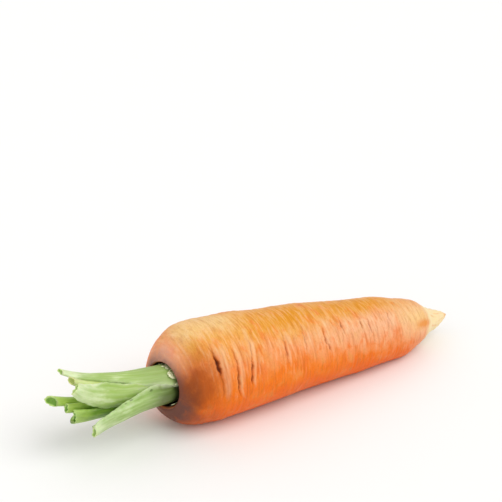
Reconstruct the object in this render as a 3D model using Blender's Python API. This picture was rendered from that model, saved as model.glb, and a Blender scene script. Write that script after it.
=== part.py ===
# A carrot as pulled and trimmed: one fleshy root, and eight leaf stalks cut short above its crown.
# The root lies on its side with its crown towards -X and its tip towards +X, and Z is up.
# Everything is shaped in a crown frame, with the crown's foremost plane at x = 0 and the floor at z = 0,
# and an empty then carries it so that its box is centred over the world's origin.

import math

import bmesh
import bpy
import numpy as np

MM = 0.001

# The root: its radius (mm) at distances (mm) behind the crown's foremost plane.
ROOT_LENGTH = 161.6
ROOT_RADII = (
    (0.8, 11.1),
    (3.2, 15.8),
    (8.1, 20.3),
    (14.5, 22.7),
    (22.6, 23.2),
    (35.6, 22.7),
    (51.7, 21.2),
    (93.7, 17.9),
    (113.1, 16.5),
    (129.3, 13.9),
    (140.6, 10.3),
    (148.7, 5.9),
    (154.3, 4.2),
    (159.2, 2.0),
    (ROOT_LENGTH, 0.4),
)
ROOT_SEGMENTS = 40
ROOT_RINGS = 36
WIDEST_AT = 22.6
LIES_FLAT_UNTIL = 129.3
PRESSED_FLAT = 0.5  # how far the floor is let into the underside, which makes the strip it rests on
TIP_HEIGHT = 10.0
# The root's sideways bend: how far (mm) its middle line leaves the straight one, at these distances.
ROOT_BEND = ((0.0, 0.0), (56.6, -1.9), (113.1, -1.8), (ROOT_LENGTH, -0.1))

# The crown's face leans back and turns to one side, which fades out over the shoulder.
CROWN_LEAN = 0.11  # how far it goes back for each unit up
CROWN_TURN = 0.16  # and for each unit towards -Y
CROWN_SLANT_ENDS = 16.0

# The stalks stand square to that face in a round pit, whose middle is (y, z) off the root's own.
PIT_OFF_MIDDLE = (-1.7, -1.6)
PIT_DEPTH = 6.0
# The pit's wall: radius (mm) at depths (mm) behind the crest.
PIT_RADII = ((0.5, 10.6), (1.8, 10.3), (PIT_DEPTH, 10.2))
STALK_FOOT_GAP = 0.4
FOOT_DEPTH = 3.0  # where a stalk's own curve starts; its foot goes straight on to the pit's floor

STALK_RINGS = 16
STALK_SIDE_POINTS = 8
STALK_EDGE_FULLNESS = 2.6  # 2 is an ellipse, more is fuller towards the stalk's two edges

# Each stalk stands round the crown at a clock angle (degrees: 0 towards +Y, 90 up, 180 towards -Y,
# 270 down) and at a reach (mm) from the crown's middle.
# Its route is two pull points and an end, as mm from the crown's middle (out of the crown, sideways, up).
# Its sections are (share of the length, width, thickness, curl radius) in mm: a bar bent to a gutter.
# Slant is the cut end's lean, and roll turns the section about the stalk by its end.
STALKS = {
    "stalk_top": dict(
        clock=97, reach=8.3, route=((17, 0, 7.0), (30, 5, 8.0), (42.5, 8, 14.2)),
        sections=((0, 14.4, 1.7, 8.2), (0.3, 9.4, 2.2, 7.0), (0.55, 6.0, 2.2, 5.0), (1, 3.2, 1.8, 3.0)),
        slant=0.5, roll=0,
    ),
    "stalk_inner": dict(
        clock=95, reach=5.0, route=((16, 0.5, 3.3), (30, 0.5, 4.8), (40.8, 0.5, 13.0)),
        sections=((0, 6.0, 1.6, 5.0), (0.45, 4.2, 1.8, 5.0), (1, 3.6, 2.2, 3.0)),
        slant=0.0, roll=0,
    ),
    "stalk_broad": dict(
        clock=170, reach=4.7, route=((15, -6.9, 0.7), (36, -8.6, 5.8), (42.5, -6, 12.6)),
        sections=((0, 5.8, 1.6, 4.7), (0.3, 7.4, 1.8, 6.0), (0.6, 12.4, 2.4, 6.5), (0.85, 8.4, 2.4, 4.0),
                  (1, 5.0, 2.4, 3.0)),
        slant=0.0, roll=0,
    ),
    "stalk_long": dict(
        clock=345, reach=4.7, route=((16, 3.4, -2.4), (33, 4.4, -2.0), (51.2, 2.4, 5.3)),
        sections=((0, 6.6, 1.6, 4.7), (0.5, 4.8, 2.4, 4.0), (1, 5.6, 3.6, 3.0)),
        slant=0.0, roll=100,
    ),
    "stalk_core": dict(
        clock=200, reach=0.6, route=((16, -0.6, -2.6), (31, -1.4, -1.6), (45.3, -1.9, 2.3)),
        sections=((0, 4.4, 3.0, 4.0), (0.5, 4.0, 2.4, 4.0), (1, 4.4, 2.8, 3.0)),
        slant=0.0, roll=0,
    ),
    "stalk_under": dict(
        clock=255, reach=4.7, route=((15, -2.5, -5.9), (30, -4.8, -5.8), (43.4, -5.4, -1.0)),
        sections=((0, 6.6, 1.6, 4.7), (0.4, 7.4, 2.0, 6.0), (1, 8.0, 2.8, 8.0)),
        slant=0.4, roll=-46,
    ),
    "stalk_side": dict(
        clock=209, reach=6.7, route=((14, -10.0, -2.0), (27, -12.4, -2.5), (38.5, -13.5, -5.4)),
        sections=((0, 12.8, 1.6, 6.7), (0.2, 15.4, 2.0, 8.2), (0.42, 12.6, 2.2, 7.5), (0.7, 8.8, 2.3, 6.0),
                  (1, 5.6, 2.2, 3.5)),
        slant=-0.3, roll=-20,
    ),
    "stalk_back": dict(
        clock=325, reach=8.0, route=((10, 8, -5), (20, 10.4, -5), (28, 11.6, -6)),
        sections=((0, 15.4, 1.7, 8.0), (0.5, 9.0, 2.2, 7.0), (1, 5.5, 2.6, 4.0)),
        slant=0.0, roll=0,
    ),
}

ROOT_COLOUR = (0.83, 0.31, 0.09)
STALK_COLOURS = {
    "stalk_top": (0.50, 0.62, 0.28),
    "stalk_inner": (0.62, 0.66, 0.26),
    "stalk_broad": (0.56, 0.68, 0.34),
    "stalk_long": (0.33, 0.55, 0.14),
    "stalk_core": (0.30, 0.48, 0.13),
    "stalk_under": (0.38, 0.55, 0.18),
    "stalk_side": (0.54, 0.66, 0.32),
    "stalk_back": (0.46, 0.60, 0.26),
}
ROOT_ROUGHNESS = 0.45
STALK_ROUGHNESS = 0.5


def clear_scene():
    for old in list(bpy.data.objects):
        bpy.data.objects.remove(old)


def smooth_step(start, end, value):
    share = min(max((value - start) / (end - start), 0.0), 1.0)
    return share * share * (3.0 - 2.0 * share)


def smooth_through(points, at):
    """A monotone cubic curve through the points (x, y), read at one x."""
    xs = np.array([p[0] for p in points])
    ys = np.array([p[1] for p in points])
    runs = np.diff(xs)
    rises = np.diff(ys) / runs
    slopes = np.concatenate([rises[:1], (rises[:-1] + rises[1:]) / 2.0, rises[-1:]])
    for i in range(1, len(xs) - 1):
        if rises[i - 1] * rises[i] <= 0.0:
            slopes[i] = 0.0
        else:
            slopes[i] = 2.0 * rises[i - 1] * rises[i] / (rises[i - 1] + rises[i])
    i = int(np.clip(np.searchsorted(xs, at) - 1, 0, len(runs) - 1))
    t = (at - xs[i]) / runs[i]
    start = (1.0 + 2.0 * t) * (1.0 - t) ** 2 * ys[i] + t * (1.0 - t) ** 2 * runs[i] * slopes[i]
    end = t * t * (3.0 - 2.0 * t) * ys[i + 1] + t * t * (t - 1.0) * runs[i] * slopes[i + 1]
    return float(start + end)


def root_height(distance):
    """The middle line's height: it follows the radius where the root lies on the floor."""
    level = smooth_through(ROOT_RADII, WIDEST_AT) - PRESSED_FLAT
    if distance <= WIDEST_AT:
        return level
    lying = smooth_through(ROOT_RADII, min(distance, LIES_FLAT_UNTIL)) - PRESSED_FLAT
    share = smooth_step(LIES_FLAT_UNTIL, ROOT_LENGTH, distance)
    return lying + (TIP_HEIGHT - lying) * share


CROWN_MIDDLE = np.array([0.0, 0.0, root_height(0.0)])
PIT_MIDDLE = CROWN_MIDDLE + np.array([ROOT_RADII[0][0], *PIT_OFF_MIDDLE])
CROWN_OUT = np.array([-1.0, -CROWN_TURN, CROWN_LEAN]) / math.sqrt(1.0 + CROWN_TURN**2 + CROWN_LEAN**2)
CROWN_RISE = np.cross([0.0, 1.0, 0.0], CROWN_OUT)
CROWN_RISE /= np.linalg.norm(CROWN_RISE)
CROWN_ACROSS = np.cross(CROWN_OUT, CROWN_RISE)


def crown_slant(sideways, up):
    return CROWN_LEAN * up - CROWN_TURN * sideways


def ring_about(middle, radius, slant_share):
    ring = []
    for i in range(ROOT_SEGMENTS):
        angle = -math.pi / 2.0 + 2.0 * math.pi * i / ROOT_SEGMENTS
        sideways = radius * math.cos(angle)
        up = radius * math.sin(angle)
        back = slant_share * crown_slant(sideways, up)
        ring.append((middle[0] + back, middle[1] + sideways, max(middle[2] + up, 0.0)))
    return ring


def root_ring(distance):
    """One ring of the root's skin, pressed flat at the floor."""
    crown_share = 1.0 - smooth_step(0.0, CROWN_SLANT_ENDS, distance)
    middle = (
        distance,
        smooth_through(ROOT_BEND, distance) + crown_share * PIT_OFF_MIDDLE[0],
        root_height(distance) + crown_share * PIT_OFF_MIDDLE[1],
    )
    return ring_about(middle, smooth_through(ROOT_RADII, distance), crown_share)


def close_rings(mesh_maker, rings):
    """Joins equal rings to a closed skin, with a flat cap at each end."""
    verts = [[mesh_maker.verts.new([c * MM for c in point]) for point in ring] for ring in rings]
    count = len(verts[0])
    for ring, following in zip(verts, verts[1:]):
        for i in range(count):
            after = (i + 1) % count
            mesh_maker.faces.new((ring[i], ring[after], following[after], following[i]))
    mesh_maker.faces.new(verts[0])
    mesh_maker.faces.new(verts[-1])
    bmesh.ops.recalc_face_normals(mesh_maker, faces=mesh_maker.faces)


def object_from_rings(name, rings, material, parent):
    mesh_maker = bmesh.new()
    close_rings(mesh_maker, rings)
    mesh = bpy.data.meshes.new(name)
    mesh_maker.to_mesh(mesh)
    mesh_maker.free()
    mesh.shade_smooth()
    mesh.set_sharp_from_angle(angle=math.radians(50.0))
    mesh.materials.append(material)
    made = bpy.data.objects.new(name, mesh)
    bpy.context.scene.collection.objects.link(made)
    made.parent = parent
    return made


def principled(name, colour, roughness):
    material = bpy.data.materials.new(name)
    material.use_nodes = True
    shader = material.node_tree.nodes["Principled BSDF"]
    shader.inputs["Base Color"].default_value = (*colour, 1.0)
    shader.inputs["Roughness"].default_value = roughness
    shader.inputs["Metallic"].default_value = 0.0
    return material


def make_root(parent):
    """The pit's floor and wall, the crest round it, and the skin down to the tip."""
    rings = []
    for depth, radius in reversed(PIT_RADII):
        rings.append(ring_about(PIT_MIDDLE + np.array([depth, 0.0, 0.0]), radius, 1.0))
    crest = ROOT_RADII[0][0]
    for i in range(ROOT_RINGS + 1):
        share = (1.0 - math.cos(math.pi * i / ROOT_RINGS)) / 2.0
        rings.append(root_ring(crest + (ROOT_LENGTH - crest) * share))
    return object_from_rings("root", rings, principled("carrot_skin", ROOT_COLOUR, ROOT_ROUGHNESS), parent)


def around_crown(clock):
    angle = math.radians(clock)
    return math.cos(angle) * CROWN_ACROSS + math.sin(angle) * CROWN_RISE


def crown_point(out, sideways, up):
    return CROWN_MIDDLE + np.array([-out, sideways, up])


def bezier(points, t):
    a, b, c, d = points
    return (1 - t) ** 3 * a + 3 * (1 - t) ** 2 * t * b + 3 * (1 - t) * t * t * c + t**3 * d


def bezier_heading(points, t):
    a, b, c, d = points
    heading = (1 - t) ** 2 * (b - a) + 2 * (1 - t) * t * (c - b) + t * t * (d - c)
    return heading / np.linalg.norm(heading)


def gutter_section(width, thickness, curl):
    """A rounded bar bent round its curl radius, as (across, outward) points: outer face, then inner."""
    outer = []
    inner = []
    for i in range(STALK_SIDE_POINTS + 1):
        across = -1.0 + 2.0 * i / STALK_SIDE_POINTS
        angle = across * width / 2.0 / curl
        half = thickness / 2.0 * math.sqrt(1.0 - abs(across) ** STALK_EDGE_FULLNESS)
        outer.append(((curl + half) * math.sin(angle), (curl + half) * math.cos(angle) - curl))
        inner.append(((curl - half) * math.sin(angle), (curl - half) * math.cos(angle) - curl))
    return outer + inner[-2:0:-1]


def stalk_rings(clock, reach, route, sections, slant, roll):
    foot = PIT_MIDDLE - FOOT_DEPTH * CROWN_OUT + reach * around_crown(clock)
    path = [foot] + [crown_point(*point) for point in route]
    shares = [s[0] for s in sections]
    rings = []
    for i in range(STALK_RINGS + 1):
        t = i / STALK_RINGS
        heading = bezier_heading(path, t)
        outward = around_crown(clock + roll * t)
        outward = outward - heading * outward.dot(heading)
        outward /= np.linalg.norm(outward)
        across = np.cross(heading, outward)
        size = [np.interp(t, shares, [s[k] for s in sections]) for k in (1, 2, 3)]
        lean = slant if i == STALK_RINGS else 0.0
        middle = bezier(path, t)
        across = across + lean * heading
        rings.append([middle + u * across + v * outward for u, v in gutter_section(*size)])
    for point in rings[0]:
        off = point - PIT_MIDDLE
        point[0] = PIT_MIDDLE[0] + PIT_DEPTH - STALK_FOOT_GAP + crown_slant(off[1], off[2])
    return rings


def make_stalks(parent):
    for name, design in STALKS.items():
        material = principled(name + "_flesh", STALK_COLOURS[name], STALK_ROUGHNESS)
        object_from_rings(name, stalk_rings(**design), material, parent)


def centre_over_origin(carrier):
    """Moves the empty, so that the whole box is centred in X and Y and stands on z = 0."""
    points = np.array([v.co for child in carrier.children for v in child.data.vertices])
    low = points.min(axis=0)
    high = points.max(axis=0)
    middle = (low + high) / 2.0
    carrier.location = (-middle[0], -middle[1], -low[2])


def main():
    clear_scene()
    carrier = bpy.data.objects.new("carrot", None)
    bpy.context.scene.collection.objects.link(carrier)
    make_root(carrier)
    make_stalks(carrier)
    centre_over_origin(carrier)


main()
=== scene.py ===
import math

import bpy
import numpy as np
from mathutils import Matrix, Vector


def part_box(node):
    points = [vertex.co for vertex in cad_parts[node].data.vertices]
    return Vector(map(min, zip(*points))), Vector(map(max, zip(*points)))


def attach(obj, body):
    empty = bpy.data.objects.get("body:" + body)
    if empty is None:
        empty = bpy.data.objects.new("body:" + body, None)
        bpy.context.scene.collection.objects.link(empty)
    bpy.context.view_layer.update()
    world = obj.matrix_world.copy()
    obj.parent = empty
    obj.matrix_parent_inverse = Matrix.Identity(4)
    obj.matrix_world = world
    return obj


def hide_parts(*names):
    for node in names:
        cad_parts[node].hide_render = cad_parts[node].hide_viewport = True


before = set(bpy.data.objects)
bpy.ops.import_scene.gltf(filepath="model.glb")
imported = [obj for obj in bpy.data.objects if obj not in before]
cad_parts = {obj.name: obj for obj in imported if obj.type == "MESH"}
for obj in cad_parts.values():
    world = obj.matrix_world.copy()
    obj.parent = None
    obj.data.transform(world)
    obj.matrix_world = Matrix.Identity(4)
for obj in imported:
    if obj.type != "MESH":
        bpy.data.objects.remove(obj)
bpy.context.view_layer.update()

# A trimmed carrot on a pale floor. Sizes are in mm here, and mm turns them into the frame's metres.
mm = 0.001
print("frame loaded:", sorted(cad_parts))


def linear(hexColour):
    # sRGB hex to linear RGBA
    parts = [int(hexColour[i:i + 2], 16) / 255.0 for i in (1, 3, 5)]
    return tuple(c / 12.92 if c <= 0.04045 else ((c + 0.055) / 1.055) ** 2.4 for c in parts) + (1.0,)


def setInputs(tree, node, inputs):
    # a socket in inputs becomes a link, anything else becomes the socket's value
    for socket, value in inputs.items():
        if isinstance(value, bpy.types.NodeSocket):
            tree.links.new(value, node.inputs[socket])
        else:
            node.inputs[socket].default_value = value


def addNode(tree, kind, inputs=None, stops=None, output=0, **settings):
    # adds a shader node and gives back one of its outputs
    node = tree.nodes.new("ShaderNode" + kind)
    for name, value in settings.items():
        setattr(node, name, value)
    setInputs(tree, node, inputs or {})
    if stops:
        ramp = node.color_ramp
        while len(ramp.elements) < len(stops):
            ramp.elements.new(0.5)
        for element, (place, colour) in zip(ramp.elements, stops):
            element.position = place
            element.color = linear(colour)
    return node.outputs[output]


def newMaterial(name):
    # a material with its node tree and its shader
    material = bpy.data.materials.new(name)
    material.use_nodes = True
    return material, material.node_tree, material.node_tree.nodes["Principled BSDF"]


def smoothStep(start, end, value):
    share = np.clip((value - start) / (end - start), 0.0, 1.0)
    return share * share * (3.0 - 2.0 * share)


def bellCurve(value, middle, width):
    return np.exp(-(((value - middle) / width) ** 2))


def turnBetween(clock, middle):
    # the signed turn in degrees from middle to clock, from -180 to 180
    return (clock - middle + 180.0) % 360.0 - 180.0


def facing(clock, middle, span):
    # 1 on the side at the middle clock, fading away over the span in degrees
    return bellCurve(turnBetween(clock, middle), 0.0, span)


def curveThrough(points, at):
    # a monotone cubic through the points, so that it never overshoots between two of them
    xs = np.array([p[0] for p in points], float)
    ys = np.array([p[1] for p in points], float)
    runs = np.diff(xs)
    rises = np.diff(ys) / runs
    slopes = np.concatenate([rises[:1], (rises[:-1] + rises[1:]) / 2.0, rises[-1:]])
    for i in range(1, len(xs) - 1):
        same = rises[i - 1] * rises[i] > 0.0
        slopes[i] = 2.0 * rises[i - 1] * rises[i] / (rises[i - 1] + rises[i]) if same else 0.0
    i = np.clip(np.searchsorted(xs, at) - 1, 0, len(runs) - 1)
    t = (at - xs[i]) / runs[i]
    start = (1.0 + 2.0 * t) * (1.0 - t) ** 2 * ys[i] + t * (1.0 - t) ** 2 * runs[i] * slopes[i]
    end = t * t * (3.0 - 2.0 * t) * ys[i + 1] + t * t * (t - 1.0) * runs[i] * slopes[i + 1]
    return start + end


def meshObject(name, points, faces, material, attributes):
    mesh = bpy.data.meshes.new(name)
    mesh.from_pydata(points.tolist(), [], faces)
    mesh.shade_smooth()
    for key, values in attributes.items():
        layer = mesh.attributes.new(key, "FLOAT", "POINT")
        layer.data.foreach_set("value", np.asarray(values, np.float32).ravel())
    mesh.materials.append(material)
    made = bpy.data.objects.new(name, mesh)
    bpy.context.scene.collection.objects.link(made)
    return made


rootShape = {
    "radii": [  # (distance behind the crown's foremost plane, radius)
        (0.8, 11.1), (3.2, 15.8), (8.1, 20.3), (14.5, 22.7), (22.6, 23.2), (35.6, 22.7), (51.7, 21.2),
        (93.7, 17.9), (113.1, 16.5), (129.3, 13.9), (140.6, 10.3), (148.7, 5.9), (154.3, 4.2),
        (159.2, 2.0), (161.6, 0.4),
    ],
    "bend": [(0.0, 0.0), (56.6, -1.9), (113.1, -1.8), (161.6, -0.1)],  # (distance, sideways)
    "widestAt": 22.6,
    "liesFlatUntil": 129.3,
    "pressedFlat": 0.5,  # how much of the underside is lost in the strip that it lies on
    "tipHeight": 10.0,
    "crownLean": 0.11,  # the crown's plane leans back by this much for each mm up
    "crownTurn": 0.16,  # and by this much for each mm to the near side
    "crownSlantEnds": 16.0,  # behind this distance the root's rings stand upright
    "pitOffMiddle": (-1.7, -1.6),  # the pit's middle off the root's middle, sideways and up
    "pitDepth": 6.0,
    "pitRadii": [(0.0, 11.1), (0.5, 10.6), (1.8, 10.3), (6.0, 10.2)],  # (depth, radius)
    "floorSoftness": 0.3,  # how gently the underside turns into the strip that it lies on
}
rootLength = rootShape["radii"][-1][0]
crestAt = rootShape["radii"][0][0]


def rootRadius(distance):
    return curveThrough(rootShape["radii"], distance)


def rootHeight(distance):
    level = rootRadius(np.array(rootShape["widestAt"])) - rootShape["pressedFlat"]
    flatEnd = rootShape["liesFlatUntil"]
    lying = rootRadius(np.minimum(distance, flatEnd)) - rootShape["pressedFlat"]
    lying = lying + (rootShape["tipHeight"] - lying) * smoothStep(flatEnd, rootLength, distance)
    return np.where(distance <= rootShape["widestAt"], level, lying)


crownMiddle = np.array([0.0, 0.0, float(rootHeight(np.array(0.0)))])
pitMiddle = crownMiddle + np.array([crestAt, *rootShape["pitOffMiddle"]])
crownOut = np.array([-1.0, -rootShape["crownTurn"], rootShape["crownLean"]])
crownOut /= np.linalg.norm(crownOut)
crownRise = np.cross([0.0, 1.0, 0.0], crownOut)
crownRise /= np.linalg.norm(crownRise)
crownAcross = np.cross(crownOut, crownRise)


def rootPoints(middle, radius, clock, slantShare):
    sideways = radius * np.cos(np.radians(clock))
    up = radius * np.sin(np.radians(clock))
    back = slantShare * (rootShape["crownLean"] * up - rootShape["crownTurn"] * sideways)
    soft = rootShape["floorSoftness"]
    height = middle[2] + up
    height = (height + np.sqrt(height**2 + soft**2)) / 2.0
    return np.stack([middle[0] + back, middle[1] + sideways, height], -1)


def rootSkin(distance, clock):
    crownShare = 1.0 - smoothStep(0.0, rootShape["crownSlantEnds"], distance)
    offY, offZ = rootShape["pitOffMiddle"]
    middle = (
        distance,
        curveThrough(rootShape["bend"], distance) + crownShare * offY,
        rootHeight(distance) + crownShare * offZ,
    )
    return rootPoints(middle, rootRadius(distance), clock, crownShare)


def crownFrameShift():
    # the crown frame's place in the row's frame: where the plain root's box meets the CAD root's box
    distance = np.linspace(crestAt, rootLength, 400)[:, None]
    points = rootSkin(distance, np.linspace(0.0, 360.0, 181)[None, :]).reshape(-1, 3) * mm
    low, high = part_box("root")
    shift = (np.array(low) + np.array(high)) / 2.0 - (points.min(0) + points.max(0)) / 2.0
    shift[2] = 0.0
    return shift


crownShift = crownFrameShift()
print("crown frame sits at", [round(v / mm, 2) for v in crownShift], "mm")

rootRelief = {
    "seed": 11,
    "rings": 508,
    "segments": 180,
    "pitWallRings": 14,
    "pitFloorRings": 7,
    "lowestSkin": 0.02,
    "bodyFadesIn": (2.0, 14.0),  # between these distances the lobes, folds and rings come in
    "bodyFadesOut": (160.0, 138.0),
    "tipFades": (0.2, -3.0),  # all relief fades here, counted from the tip
    "calmSide": (90, 26, 0.6),  # the side that lay up stayed smooth: clock, half span, how much is lost
    "lobeHeight": 0.36,
    "lobesRound": (1, 2, 2, 3, 3, 4, 5),
    "lobeLength": (24.0, 70.0),
    # this root's own bulges and hollows, as (distance, clock, height, half length, half span in degrees)
    "swells": [
        (28, 72, -0.55, 8, 45), (71, 72, 1.20, 17, 50), (106, 72, -0.60, 13, 50), (141, 80, 0.55, 6, 50),
        (66, 235, -0.55, 20, 32), (99, 240, 0.35, 5, 30), (127, 235, 0.75, 8, 32), (152, 230, 1.50, 3.5, 65),
    ],
    "shoulder": (13.5, 150, 0.40, 6.0, 50),  # the same for the swelling behind the crown
    "ringHeight": 0.07,
    "ringWaves": 14,
    "ringSpacing": (1.8, 6.5),
    "ringDrift": (0.5, 2.2),
    "nubStart": 143.6,
    "nubTilt": (0.6, 40.0),  # it starts this much later at this clock
    "nubRagged": ((0.5, 3.0, 1.0), (0.35, 7.0, 0.0), (0.2, 13.0, 2.0)),  # (height, cycles round, phase)
    "notch": (0.8, 0.20, 0.35),  # where the nub starts: half width, depth, and how much deeper at the top
    "notchSide": (95, 60),
    "nubRidges": (0.07, 0.10),
    "nubRidgesFrom": (143.0, 149.0),
    "pitRagged": 0.18,
    "pitLip": (250, 42, 1.1),  # the swollen lip below the stalks: clock, half span, how far it stands in
    "creases": [
        # the creases at the sockets of broken side roots: ((clock, distance), ...), then depth and half
        # width, and where the crease gapes: from one clock to another, and how far open it is
        (((118, 15.6), (131, 17.0), (141, 17.5), (158, 17.9), (172, 18.5), (192, 18.4)), 0.40, 0.80,
         (133, 161, 1.0)),
        (((128, 25.8), (140, 26.6), (154, 26.6), (169, 25.8), (181, 25.8), (196, 28.6)), 0.48, 0.50,
         (154, 184, 0.50)),
        (((122, 36.8), (136, 35.7), (151, 34.3), (160, 33.6), (174, 32.6), (186, 33.4)), 0.42, 0.50,
         (152, 166, 0.60)),
        (((154, 33.6), (166, 32.9), (182, 32.6)), 0.20, 0.50, (163, 178, 0.62)),
        (((138, 37.9), (159, 36.5), (178, 35.2)), 0.26, 0.40, None),
        (((122, 22.2), (140, 22.8), (158, 22.6)), 0.22, 0.40, None),
        (((138, 30.6), (156, 30.0), (172, 29.4)), 0.20, 0.40, None),
        (((120, 45.2), (138, 44.4), (160, 43.2)), 0.20, 0.40, None),
        (((118, 54.7), (141, 53.4), (158, 52.8), (172, 52.6)), 0.36, 0.45, (134, 160, 0.40)),
        (((126, 59.2), (150, 58.2)), 0.18, 0.40, None),
        (((114, 66.6), (133, 64.9), (149, 64.7), (160, 63.4)), 0.30, 0.42, (130, 150, 0.30)),
        (((126, 76.4), (145, 75.6), (158, 75.8)), 0.36, 0.46, (137, 155, 0.45)),
        (((146, 76.2), (158, 76.8), (166, 77.8)), 0.22, 0.42, (150, 164, 0.42)),
        (((120, 87.6), (134, 86.9), (148, 87.4)), 0.34, 0.60, (125, 137, 0.44)),
        (((122, 99.5), (134, 98.4), (146, 98.1)), 0.30, 0.42, (126, 142, 0.34)),
        (((125, 103.4), (143, 102.5), (158, 103.5)), 0.32, 0.42, (128, 149, 0.34)),
        (((122, 115.6), (136, 115.0), (144, 115.4)), 0.28, 0.45, (123, 135, 0.30)),
        (((140, 124.0), (152, 124.4)), 0.22, 0.40, None),
        (((130, 132.0), (148, 132.6)), 0.20, 0.40, None),
    ],
    "otherRows": [(50, 10), (318, 9), (252, 8)],  # the rows of sockets on the other sides: clock, how many
    "rowStretch": (15.0, 118.0),  # where those rows start and how long they are
    "rowScatter": (11.0, 0.8),  # how far the sockets stray, in degrees round and mm along
    "socketHalfSpan": (10.0, 36.0),
    "socketDepth": (0.14, 0.42),
    "socketWidth": (0.36, 0.6),
    "socketGape": (3.0, 12.0),  # how far it gapes before the socket's middle, in degrees
    "gapePast": 0.6,  # and how much of that past the middle
    "socketOpenness": (0.1, 0.8),
    "openShare": 0.6,  # share of the sockets that gape at all
    "highlightSpots": [  # (distance, clock, half width, half span in degrees): painted highlights beside the creases
        (36.0, 134, 1.3, 20), (21.6, 150, 1.1, 30), (28.6, 156, 0.9, 22), (78.3, 128, 1.9, 13),
        (90.0, 130, 1.4, 13), (100.4, 131, 1.1, 15), (105.2, 140, 1.3, 18), (56.0, 138, 1.6, 12),
        (67.6, 140, 1.4, 13), (117.5, 142, 2.6, 14),
        (30.0, 320, 1.6, 20), (52.0, 312, 1.4, 16), (83.0, 326, 2.0, 18), (110.0, 316, 1.6, 16),
        (44.0, 50, 1.4, 18), (72.0, 46, 1.6, 16), (96.0, 52, 1.4, 16),
    ],
    "creaseWaves": ((0.16, 0.55), (0.08, 1.45)),  # how a crease wanders: (mm, how often)
    "creaseLips": (0.40, 0.52),  # how high the lips stand for a crease's depth: crown side, tip side
    "slitShade": 0.42,
    "gapeWidestAt": 0.62,  # share of the gape's length
    "gapeDepth": 0.85,
    "lipHeight": 0.30,
    "wrinkles": 220,  # fine partial folds that run round the root, most of them beside the rows of sockets
    "wrinkleRows": (46, 148, 252, 318),
    "wrinkleDepth": (0.02, 0.12),
    "wrinkleWidth": (0.25, 0.60),
    "wrinkleSpan": (8.0, 34.0),  # degrees each way
    "wrinkleScatter": 20.0,
    "wrinkleSlope": (-0.02, 0.02),  # mm along the root for each degree round
    "wrinkleWave": (0.0, 0.4),
    "wrinkleStretch": (15.0, 135.0),  # where the folds start and how long that stretch is
    "wrinkleCrowding": (1.0, 1.7),  # the beta curve that sets more of them near the crown
}


def lobeField(rng, distance, clock):
    # broad swells and hollows, a few cycles round and along
    field = np.zeros(np.broadcast(distance, clock).shape)
    for cyclesRound in rootRelief["lobesRound"]:
        waveLength = rng.uniform(*rootRelief["lobeLength"])
        phase = rng.uniform(0.0, 2.0 * math.pi, 2)
        alongWave = np.sin(2.0 * math.pi * distance / waveLength + phase[0])
        field += alongWave * np.cos(np.radians(clock) * cyclesRound + phase[1]) / (0.6 + 0.4 * cyclesRound)
    field *= rootRelief["lobeHeight"] / 2.0
    for place, middle, swell, length, span in rootRelief["swells"]:
        field += swell * bellCurve(distance, place, length) * facing(clock, middle, span)
    return field


def wrinkleField(rng, distance, clock):
    # returns the height and how deep in a fold each point is, both from the same folds
    height = np.zeros(np.broadcast(distance, clock).shape)
    fold = np.zeros_like(height)
    for _ in range(rootRelief["wrinkles"]):
        start, length = rootRelief["wrinkleStretch"]
        place = start + length * rng.beta(*rootRelief["wrinkleCrowding"])
        middle = rng.choice(rootRelief["wrinkleRows"]) + rng.normal(0.0, rootRelief["wrinkleScatter"])
        span = rng.uniform(*rootRelief["wrinkleSpan"])
        depth = rng.uniform(*rootRelief["wrinkleDepth"]) * (1.2 - 0.5 * place / rootLength)
        width = rng.uniform(*rootRelief["wrinkleWidth"])
        slope = rng.uniform(*rootRelief["wrinkleSlope"])
        wave = rng.uniform(*rootRelief["wrinkleWave"])
        turn = turnBetween(clock, middle)
        line = distance - place - slope * turn - wave * np.sin(turn / span * 3.0 + middle)
        reach = smoothStep(1.0, 0.2, np.abs(turn) / span)
        cut = bellCurve(line, 0.0, width) * reach
        swell = bellCurve(line, 2.2 * width, 1.6 * width) * reach
        height += depth * (0.8 * swell - cut)
        fold = np.maximum(fold, cut * depth / rootRelief["wrinkleDepth"][1])
    return height, fold


def allCreases(rng):
    # the creases placed one by one on the near side, and scattered ones on the other sides
    creases = list(rootRelief["creases"])
    start, length = rootRelief["rowStretch"]
    scatterRound, scatterAlong = rootRelief["rowScatter"]
    for row, count in rootRelief["otherRows"]:
        for i in range(count):
            place = start + (i + rng.uniform(-0.1, 1.1)) * length / count
            middle = row + rng.normal(0.0, scatterRound)
            reach = rng.uniform(*rootRelief["socketHalfSpan"])
            bends = rng.normal(0.0, scatterAlong, 3)
            shares = (-1.0, 0.1, 1.0)
            route = tuple((middle + share * reach, place + bend) for share, bend in zip(shares, bends))
            gape = rng.uniform(*rootRelief["socketGape"])
            openness = rng.uniform(*rootRelief["socketOpenness"])
            opening = (middle - gape, middle + rootRelief["gapePast"] * gape, openness)
            opening = opening if rng.uniform() < rootRelief["openShare"] else None
            depth = rng.uniform(*rootRelief["socketDepth"])
            creases.append((route, depth, rng.uniform(*rootRelief["socketWidth"]), opening))
    return creases


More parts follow.
